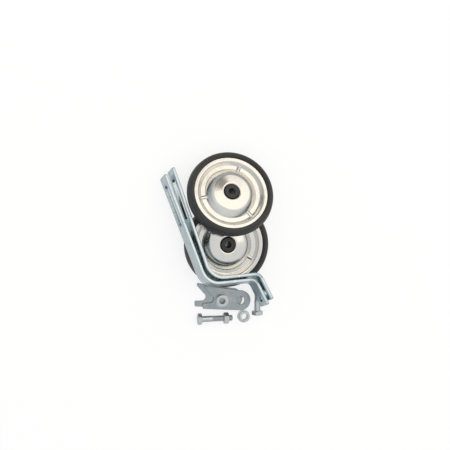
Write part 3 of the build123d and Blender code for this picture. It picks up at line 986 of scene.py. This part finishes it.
def ramp(tree, value, low, high):
    """Value mapped smoothly from 0 at low to 1 at high."""
    links = {"Value": value, "From Min": low, "From Max": high}
    return add(tree, "ShaderNodeMapRange", links, interpolation_type="SMOOTHSTEP").outputs["Result"]


def between(tree, mask, low, high):
    """Value from low to high as the mask goes from 0 to 1."""
    return add(tree, "ShaderNodeMapRange", {"Value": mask, "To Min": low, "To Max": high}).outputs["Result"]


def maths(tree, operation, a, b):
    """One arithmetic step between two values or sockets."""
    return add(tree, "ShaderNodeMath", {0: a, 1: b}, operation=operation).outputs[0]


def noise(tree, vector, scale, detail, **more):
    """Soft noise between 0 and 1."""
    links = {"Vector": vector, "Scale": scale, "Detail": detail, **more}
    return add(tree, "ShaderNodeTexNoise", links).outputs["Fac"]


def streaks(tree, vector, stretch, rotation=(0, 0, 0)):
    """Noise read through a turned and stretched space, so that its spots become streaks."""
    space = add(tree, "ShaderNodeMapping", {"Vector": vector, "Rotation": rotation, "Scale": stretch})
    return noise(tree, space.outputs[0], 1.0, 2.0)


def effect(name, inputs, output):
    """New node group with named sockets: value inputs with a start value, a vector where it is None."""
    tree = bpy.data.node_groups.new(name, "ShaderNodeTree")
    for socket, start in inputs.items():
        kind = "NodeSocketVector" if start is None else "NodeSocketFloat"
        made = tree.interface.new_socket(socket, in_out="INPUT", socket_type=kind)
        if start is not None:
            made.default_value = start
    tree.interface.new_socket(output, in_out="OUTPUT", socket_type="NodeSocketFloat")
    return tree, add(tree, "NodeGroupInput").outputs, add(tree, "NodeGroupOutput")


# %% Fine scratches
SCRATCH_TURNS = ((0.2, 0.9, 0.4), (1.3, 0.3, 2.0), (0.7, 2.2, 1.1))
SCRATCH_STRETCH = (900, 60, 60)
SCRATCH_FLOOR = 0.74
SCRATCH_SPREAD = 0.12
SCRATCH_EDGE = 0.03


def make_scratches():
    """Fine scratches: the thin crests of three streaky noises laid in three directions."""
    tree, given, end = effect("fine_scratches", {"Vector": None, "Density": 0.5}, "Mask")
    floor = maths(tree, "SUBTRACT", SCRATCH_FLOOR, maths(tree, "MULTIPLY", given["Density"], SCRATCH_SPREAD))
    crest = maths(tree, "ADD", floor, SCRATCH_EDGE)
    mask = 0.0
    for turn in SCRATCH_TURNS:
        lines = streaks(tree, given["Vector"], SCRATCH_STRETCH, turn)
        mask = maths(tree, "MAXIMUM", mask, ramp(tree, lines, floor, crest))
    plug(tree, end, {"Mask": mask})
    return tree


scratches = make_scratches()
print(scratches.name, "nodes:", len(scratches.nodes))

# %% Handling patches
FINER = 7.0
WIDE_SHARE = 0.75
PATCH_GAIN = 2.2


def make_patches():
    """Slow patches of handling and tarnish: two sizes of soft noise added up and spread about a half."""
    tree, given, end = effect("handling_patches", {"Vector": None, "Scale": 60.0, "Contrast": 1.0}, "Mask")
    wide = noise(tree, given["Vector"], given["Scale"], 4.0, Distortion=1.2)
    fine = noise(tree, given["Vector"], maths(tree, "MULTIPLY", given["Scale"], FINER), 3.0)
    mixed = maths(tree, "ADD", maths(tree, "MULTIPLY", wide, WIDE_SHARE),
                  maths(tree, "MULTIPLY", fine, 1 - WIDE_SHARE))
    centred = maths(tree, "MULTIPLY", maths(tree, "SUBTRACT", mixed, 0.5), given["Contrast"])
    level = add(tree, "ShaderNodeMath", {0: centred, 1: PATCH_GAIN, 2: 0.5}, operation="MULTIPLY_ADD",
                use_clamp=True)
    plug(tree, end, {"Mask": level.outputs[0]})
    return tree


patches = make_patches()
print(patches.name, "nodes:", len(patches.nodes))


# %% Spin lines
def make_spin_lines():
    """Thin rings round the axle: noise along the distance from the axle and the height, alike all round."""
    tree, given, end = effect("spin_lines", {"Vector": None, "Fineness": 2600.0}, "Height")
    parts = add(tree, "ShaderNodeSeparateXYZ", {"Vector": given["Vector"]}).outputs
    flat = add(tree, "ShaderNodeCombineXYZ", {"X": parts["X"], "Y": parts["Y"]})
    away = add(tree, "ShaderNodeVectorMath", {0: flat.outputs[0]}, operation="LENGTH").outputs["Value"]
    spot = add(tree, "ShaderNodeCombineXYZ", {"X": away, "Y": parts["Z"]})
    plug(tree, end, {"Height": noise(tree, spot.outputs[0], given["Fineness"], 3.0, Roughness=0.7)})
    return tree


spin_lines = make_spin_lines()
print(spin_lines.name, "nodes:", len(spin_lines.nodes))


# %% Material helpers
def blank_material(name):
    """Material with an empty tree."""
    material = bpy.data.materials.new(name)
    material.use_nodes = True
    material.node_tree.nodes.clear()
    return material, material.node_tree


def finish(name):
    """Material with its tree, and its shader joined to the output."""
    material, tree = blank_material(name)
    shader = add(tree, "ShaderNodeBsdfPrincipled")
    add(tree, "ShaderNodeOutputMaterial", {"Surface": shader.outputs[0]})
    return material, tree, shader


def use(tree, group, links):
    """A shared effect placed in a material."""
    return add(tree, "ShaderNodeGroup", links, node_tree=group).outputs[0]


def blend_colour(tree, mask, low, high):
    """Colour from low to high as the mask goes from 0 to 1; an end is three numbers or another socket."""
    low, high = (end if isinstance(end, bpy.types.NodeSocket) else (*end, 1.0) for end in (low, high))
    return add(tree, "ShaderNodeMix", {0: mask, 6: low, 7: high}, data_type="RGBA").outputs[2]


def bump(tree, height, distance, strength, under=None):
    """Normal of a height map, laid over another bump where one is given."""
    links = {"Height": height, "Distance": distance, "Strength": strength}
    if under is not None:
        links["Normal"] = under
    return add(tree, "ShaderNodeBump", links).outputs["Normal"]


def own_place(tree):
    """Where a point lies on its own piece, before the piece was carried to its place."""
    return add(tree, "ShaderNodeAttribute", attribute_name="own_place").outputs["Vector"]


def object_place(tree):
    """Where a point lies in the set."""
    return add(tree, "ShaderNodeTexCoord").outputs["Object"]


# %% [markdown]
# ## Bright pressed steel
# The discs are plated and bright, yet not mirrors: the press leaves thin rings, hands leave duller patches,
# and handling leaves fine scratches. A painted picture could carry all three, but it would have to be
# unwrapped and would repeat. Noise that is read at each point of the piece does neither.

# %% Bright steel
STEEL_BRIGHT = (0.80, 0.78, 0.73)
STEEL_DULL = (0.71, 0.70, 0.67)
STEEL_SCRATCH = (0.86, 0.85, 0.82)
STEEL_ROUGH = (0.10, 0.24)
SCRATCH_ROUGH = 0.1
SCRATCH_DENSITY = 0.2
FINE_RELIEF = 0.02 * MM


def bright_steel():
    """Tint and roughness follow the patches; scratches are lighter, rougher and raised; rings are raised."""
    material, tree, shader = finish("bright_steel")
    here = own_place(tree)
    dull = use(tree, patches, {"Vector": here, "Scale": 45.0, "Contrast": 1.2})
    scratched = use(tree, scratches, {"Vector": here, "Density": SCRATCH_DENSITY})
    rings = use(tree, spin_lines, {"Vector": here, "Fineness": 1500.0})
    tint = blend_colour(tree, dull, STEEL_BRIGHT, STEEL_DULL)
    worn = between(tree, dull, *STEEL_ROUGH)
    ringed = bump(tree, rings, FINE_RELIEF, strength=0.35)
    plug(tree, shader, {
        "Base Color": blend_colour(tree, scratched, tint, STEEL_SCRATCH),
        "Roughness": maths(tree, "ADD", worn, maths(tree, "MULTIPLY", scratched, SCRATCH_ROUGH)),
        "Normal": bump(tree, scratched, FINE_RELIEF, strength=0.3, under=ringed),
        "Metallic": 1.0,
    })
    return material


# %% [markdown]
# ## Rubber and nylon
# Rubber is nearly black with a brownish bloom that comes and goes, a little grey dust, a soft sheen and a
# fine pebble from the mould. Nylon is as dark but smoother, scuffed here and there, with the faint rings of
# the turned mould. One plain black would do from afar, but close up it would look like a cut-out.

# %% Rubber and nylon
RUBBER = (0.026, 0.026, 0.027)
RUBBER_BLOOM = (0.040, 0.038, 0.035)
RUBBER_DUST = (0.056, 0.053, 0.050)
RUBBER_ROUGH = (0.42, 0.52)
DUST_RANGE = (0.55, 1.6)
PEBBLE_RELIEF = 0.06 * MM
MOULD_RELIEF = 0.04 * MM
NYLON = (0.022, 0.021, 0.022)
NYLON_SCUFF = (0.048, 0.045, 0.043)
NYLON_ROUGH = (0.34, 0.55)
NYLON_RELIEF = 0.03 * MM


def tyre_rubber():
    """Colour and roughness follow the bloom, with dust in small spots; pebble and mould rings are raised."""
    material, tree, shader = finish("tyre_rubber")
    here = own_place(tree)
    bloom = use(tree, patches, {"Vector": here, "Scale": 35.0, "Contrast": 1.3})
    dusty = use(tree, patches, {"Vector": here, "Scale": 160.0, "Contrast": 1.6})
    rings = use(tree, spin_lines, {"Vector": here, "Fineness": 900.0})
    rubbed = blend_colour(tree, bloom, RUBBER, RUBBER_BLOOM)
    pebbled = bump(tree, noise(tree, here, scale=1800.0, detail=3.0), PEBBLE_RELIEF, strength=0.35)
    plug(tree, shader, {
        "Base Color": blend_colour(tree, ramp(tree, dusty, *DUST_RANGE), rubbed, RUBBER_DUST),
        "Roughness": between(tree, bloom, *RUBBER_ROUGH),
        "Normal": bump(tree, rings, MOULD_RELIEF, strength=0.25, under=pebbled),
        "Specular IOR Level": 0.45,
    })
    return material


def black_nylon():
    """Colour and roughness follow the scuffs; the mould's rings are raised."""
    material, tree, shader = finish("black_nylon")
    here = own_place(tree)
    scuff = use(tree, patches, {"Vector": here, "Scale": 150.0, "Contrast": 1.4})
    rings = use(tree, spin_lines, {"Vector": here, "Fineness": 2200.0})
    plug(tree, shader, {
        "Base Color": blend_colour(tree, scuff, NYLON, NYLON_SCUFF),
        "Roughness": between(tree, scuff, *NYLON_ROUGH),
        "Normal": bump(tree, rings, NYLON_RELIEF, strength=0.4),
    })
    return material


# %% [markdown]
# ## Zinc plate
# The arms, brackets and fixings are zinc plated with a clear blue passivation: a cool grey metal whose
# tint wanders from blue towards straw. Rolled bar keeps faint lines along its length, and plate and
# fixings are spotted and duller. The plate's two tints are also set darker than the bar's, as painted
# shade for the brackets, which lie low under the rest of the set. One function makes all three, from a
# table of their values.

# %% Zinc
SPOT_RANGE = (0.55, 1.0)
SPOT_SHADE = 0.9
SCRAPED_SHINE = 1.3
ZINC = {
    "zinc_bar": {
        "cool": (0.50, 0.61, 0.68), "straw": (0.63, 0.69, 0.70), "rough": (0.20, 0.28),
        "spots": 90.0, "place": own_place, "lines": (12, 700, 700)},
    # Painted shade: the plate's tints are darker than the bar's because the brackets lie in shade under the set.
    "zinc_plate": {
        "cool": (0.33, 0.385, 0.42), "straw": (0.41, 0.43, 0.43), "rough": (0.26, 0.40),
        "spots": 160.0, "place": object_place, "lines": (20, 900, 900)},
    "zinc_fixings": {
        "cool": (0.55, 0.60, 0.62), "straw": (0.64, 0.65, 0.63), "rough": (0.24, 0.40),
        "spots": 500.0, "place": object_place, "lines": (700, 700, 700)},
}


def zinc(name, cool, straw, rough, spots, place, lines):
    """Zinc plate between two tints, with spotted roughness, fine scratches and lines along one direction."""
    material, tree, shader = finish(name)
    here = place(tree)
    tinge = use(tree, patches, {"Vector": here, "Scale": 38.0, "Contrast": 1.1})
    spotted = use(tree, patches, {"Vector": here, "Scale": spots, "Contrast": 1.2})
    scratched = use(tree, scratches, {"Vector": here, "Density": SCRATCH_DENSITY})
    shade = tuple(SPOT_SHADE * c for c in cool)
    scraped = tuple(SCRAPED_SHINE * c for c in straw)
    tint = blend_colour(tree, tinge, cool, straw)
    darker = blend_colour(tree, ramp(tree, spotted, *SPOT_RANGE), tint, shade)
    lined = bump(tree, streaks(tree, here, lines), FINE_RELIEF, strength=0.25)
    plug(tree, shader, {
        "Base Color": blend_colour(tree, scratched, darker, scraped),
        "Roughness": between(tree, spotted, *rough),
        "Normal": bump(tree, scratched, FINE_RELIEF, strength=0.15, under=lined),
        "Metallic": 1.0,
    })
    return material


finishes = {"bright_steel": bright_steel(), "tyre_rubber": tyre_rubber(), "black_nylon": black_nylon()}
finishes.update({name: zinc(name, **values) for name, values in ZINC.items()})
for piece in pieces:
    piece.data.materials.clear()
    piece.data.materials.append(finishes[piece["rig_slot"]])
print("finishes:", sorted(finishes))

# %% [markdown]
# ## The white table
# The set lies on a white table that runs out of the picture. Lit alone it would come out grey, and more
# light would wash out the metal. So the table mixes a matt paint, which takes the shadows, with a glow that
# only the camera and mirrored rays see. Under the lower wheel's bore the glow is all but left out, so the
# table there shows as painted shade, where the eye looks down a dark hole.

# %% Table
SQUARE = ((-1, -1), (1, -1), (1, 1), (-1, 1))
TABLE_HALF = 4.0
TABLE_DROP = 0.05 * MM
TABLE_WHITE = (0.92, 0.92, 0.92, 1.0)
TABLE_GLOW = (1.0, 1.0, 1.0, 1.0)
GLOW_SEEN = 1.06
GLOW_MIRRORED = 0.72
GLOW_SHARE = 0.72
GLOW_SHARE_IN_PAINTED_BORE_SHADE = 0.05


def studio_piece(name, points, faces):
    """Part of the studio that is no piece of the set, and the empty tree of its paint."""
    mesh = bpy.data.meshes.new(name)
    mesh.from_pydata(points, [], faces)
    paint, tree = blank_material(name + "_paint")
    mesh.materials.append(paint)
    piece = shown(mesh)
    return piece, tree


corners = [(x * TABLE_HALF, y * TABLE_HALF, -TABLE_DROP) for x, y in SQUARE]
table, tree = studio_piece("table", corners, [(0, 1, 2, 3)])
rays = add(tree, "ShaderNodeLightPath").outputs
seen = maths(tree, "MAXIMUM", rays["Is Camera Ray"], rays["Is Glossy Ray"])
seen = maths(tree, "MAXIMUM", seen, rays["Is Transmission Ray"])
# Painted shade: the glow fades out near the lower wheel's bore, which leaves a dark disc of table there.
under_bore = tuple(wheel_place["lower_wheel"][1] * [1, 1, 0])
from_bore = add(tree, "ShaderNodeVectorMath", {0: object_place(tree), 1: under_bore}, operation="DISTANCE")
open_table = ramp(tree, from_bore.outputs["Value"], BORE_RADIUS, 2 * BORE_RADIUS)
share = maths(tree, "MULTIPLY", seen, between(tree, open_table, GLOW_SHARE_IN_PAINTED_BORE_SHADE, GLOW_SHARE))
strength = between(tree, rays["Is Glossy Ray"], GLOW_SEEN, GLOW_MIRRORED)
paint = add(tree, "ShaderNodeBsdfDiffuse", {"Color": TABLE_WHITE})
glow = add(tree, "ShaderNodeEmission", {"Color": TABLE_GLOW, "Strength": strength})
mixed = add(tree, "ShaderNodeMixShader", {0: share, 1: paint.outputs[0], 2: glow.outputs[0]})
add(tree, "ShaderNodeOutputMaterial", {"Surface": mixed.outputs[0]})
print(table.name, "side m:", 2 * TABLE_HALF)

# %% [markdown]
# ## Light
# A pale, even sky lights the set from all sides. One large warm lamp stands high behind it, a little to the
# right, and gives the bright metal its cream tone beside the cooler sky. A small lamp would leave hard spots.

# %% Sky and key light
SKY_COLOUR = (0.97, 0.985, 1.0, 1.0)
SKY_STRENGTH = 0.84
KEY_WAY = Vector((0.24, 0.50, 0.82))
KEY_DISTANCE = 1.6
KEY_SIZE = 1.65
KEY_POWER = 5.0
KEY_COLOUR = (1.0, 0.84, 0.62)

world = bpy.data.worlds.new("studio")
world.use_nodes = True
tree = world.node_tree
tree.nodes.clear()
rays = add(tree, "ShaderNodeLightPath").outputs
strength = between(tree, rays["Is Camera Ray"], SKY_STRENGTH, 1.0)
sky = add(tree, "ShaderNodeBackground", {"Color": SKY_COLOUR, "Strength": strength})
add(tree, "ShaderNodeOutputWorld", {"Surface": sky.outputs[0]})
bpy.context.scene.world = world

lamp = bpy.data.lights.new("key", "AREA")
lamp.size = KEY_SIZE
lamp.energy = KEY_POWER
lamp.color = KEY_COLOUR
key = bpy.data.objects.new("key", lamp)
key.location = KEY_WAY.normalized() * KEY_DISTANCE
key.rotation_euler = KEY_WAY.to_track_quat("Z", "Y").to_euler()
key.visible_camera = False
bpy.context.scene.collection.objects.link(key)
print("key light at m:", [round(c, 2) for c in key.location])

# %% [markdown]
# ## What the metal mirrors
# Bright metal shows what stands round it, and a bare sky would leave it flat. A small dark panel stands up
# behind the set, and a round wall, grey at the foot and pale at the top, stands about it. The metal darkens
# where it mirrors them. The camera doesn't see either, and neither throws a shadow.

# %% Dark panel and grey wall
PANEL_WAY = Vector((-0.02, 0.80, 0.60))
PANEL_DISTANCE = 1.4
PANEL_HALF = 0.25
PANEL_COLOUR = (0.30, 0.28, 0.25, 1.0)
WALL_RADIUS = 2.6
WALL_HEIGHT = 2.6
WALL_LOW = (0.36, 0.40, 0.44)
WALL_HIGH = (0.77, 0.785, 0.80)
wall_angles = np.radians(np.arange(0, 360, 7.5))


def only_mirrored(piece, tree, colour):
    """The piece shows its colour in mirrors, and neither to the camera nor in shadows and soft light."""
    for ray in ("camera", "diffuse", "shadow"):
        setattr(piece, "visible_" + ray, False)
    light = add(tree, "ShaderNodeEmission", {"Color": colour, "Strength": 1.0})
    add(tree, "ShaderNodeOutputMaterial", {"Surface": light.outputs[0]})


turn = PANEL_WAY.to_track_quat("Z", "Y").to_matrix()
corners = [turn @ Vector((x * PANEL_HALF, y * PANEL_HALF, PANEL_DISTANCE)) for x, y in SQUARE]
panel, tree = studio_piece("dark_panel", corners, [(0, 1, 2, 3)])
only_mirrored(panel, tree, PANEL_COLOUR)

wall_points = turned(WALL_RADIUS, np.array([[0.0], [WALL_HEIGHT]]), wall_angles[None, :]).reshape(-1, 3)
wall_faces = grid_faces(2, wall_angles.size, False, True).tolist()
wall, tree = studio_piece("grey_wall", wall_points, wall_faces)
height = add(tree, "ShaderNodeSeparateXYZ", {"Vector": object_place(tree)}).outputs["Z"]
only_mirrored(wall, tree, blend_colour(tree, ramp(tree, height, 0.0, WALL_HEIGHT), WALL_LOW, WALL_HIGH))
print("mirrored only:", panel.name, wall.name)

# %% [markdown]
# ## Camera
# The camera looks almost straight down. It leans a little to the left and tips a little towards the top of
# the picture, with the picture's middle just above the lower hub. Three square-on directions make its turn:
# the picture's right, its up, and the way back from the table to the camera.

# %% Camera
AIM_FROM_LOWER_HUB = Vector((0.00021, 0.02405, 0.0))
CAMERA_LEAN = 0.21306
CAMERA_TIP = 0.048708
CAMERA_DISTANCE = 0.75145
CAMERA_LENS = 46.48
SENSOR_WIDTH = 36.0

lower_hub = wheel_place["lower_wheel"][1]
target = Vector((lower_hub[0], lower_hub[1], 0.0)) + AIM_FROM_LOWER_HUB
right = Vector((np.cos(CAMERA_LEAN), 0.0, np.sin(CAMERA_LEAN)))
away = Vector((-np.sin(CAMERA_LEAN), 0.0, np.cos(CAMERA_LEAN)))
south = Vector((0.0, -1.0, 0.0))
back = away * np.cos(CAMERA_TIP) - south * np.sin(CAMERA_TIP)
up = back.cross(right)
turn = Matrix((right, up, back)).transposed().to_4x4()
camera_data = bpy.data.cameras.new("camera")
camera_data.lens = CAMERA_LENS
camera_data.sensor_width = SENSOR_WIDTH
camera = bpy.data.objects.new("camera", camera_data)
camera.matrix_world = Matrix.Translation(target + back * CAMERA_DISTANCE) @ turn
bpy.context.scene.collection.objects.link(camera)
bpy.context.scene.camera = camera
bpy.context.scene.view_settings.view_transform = "Standard"
print("camera looks at mm:", [round(c / MM, 1) for c in target])
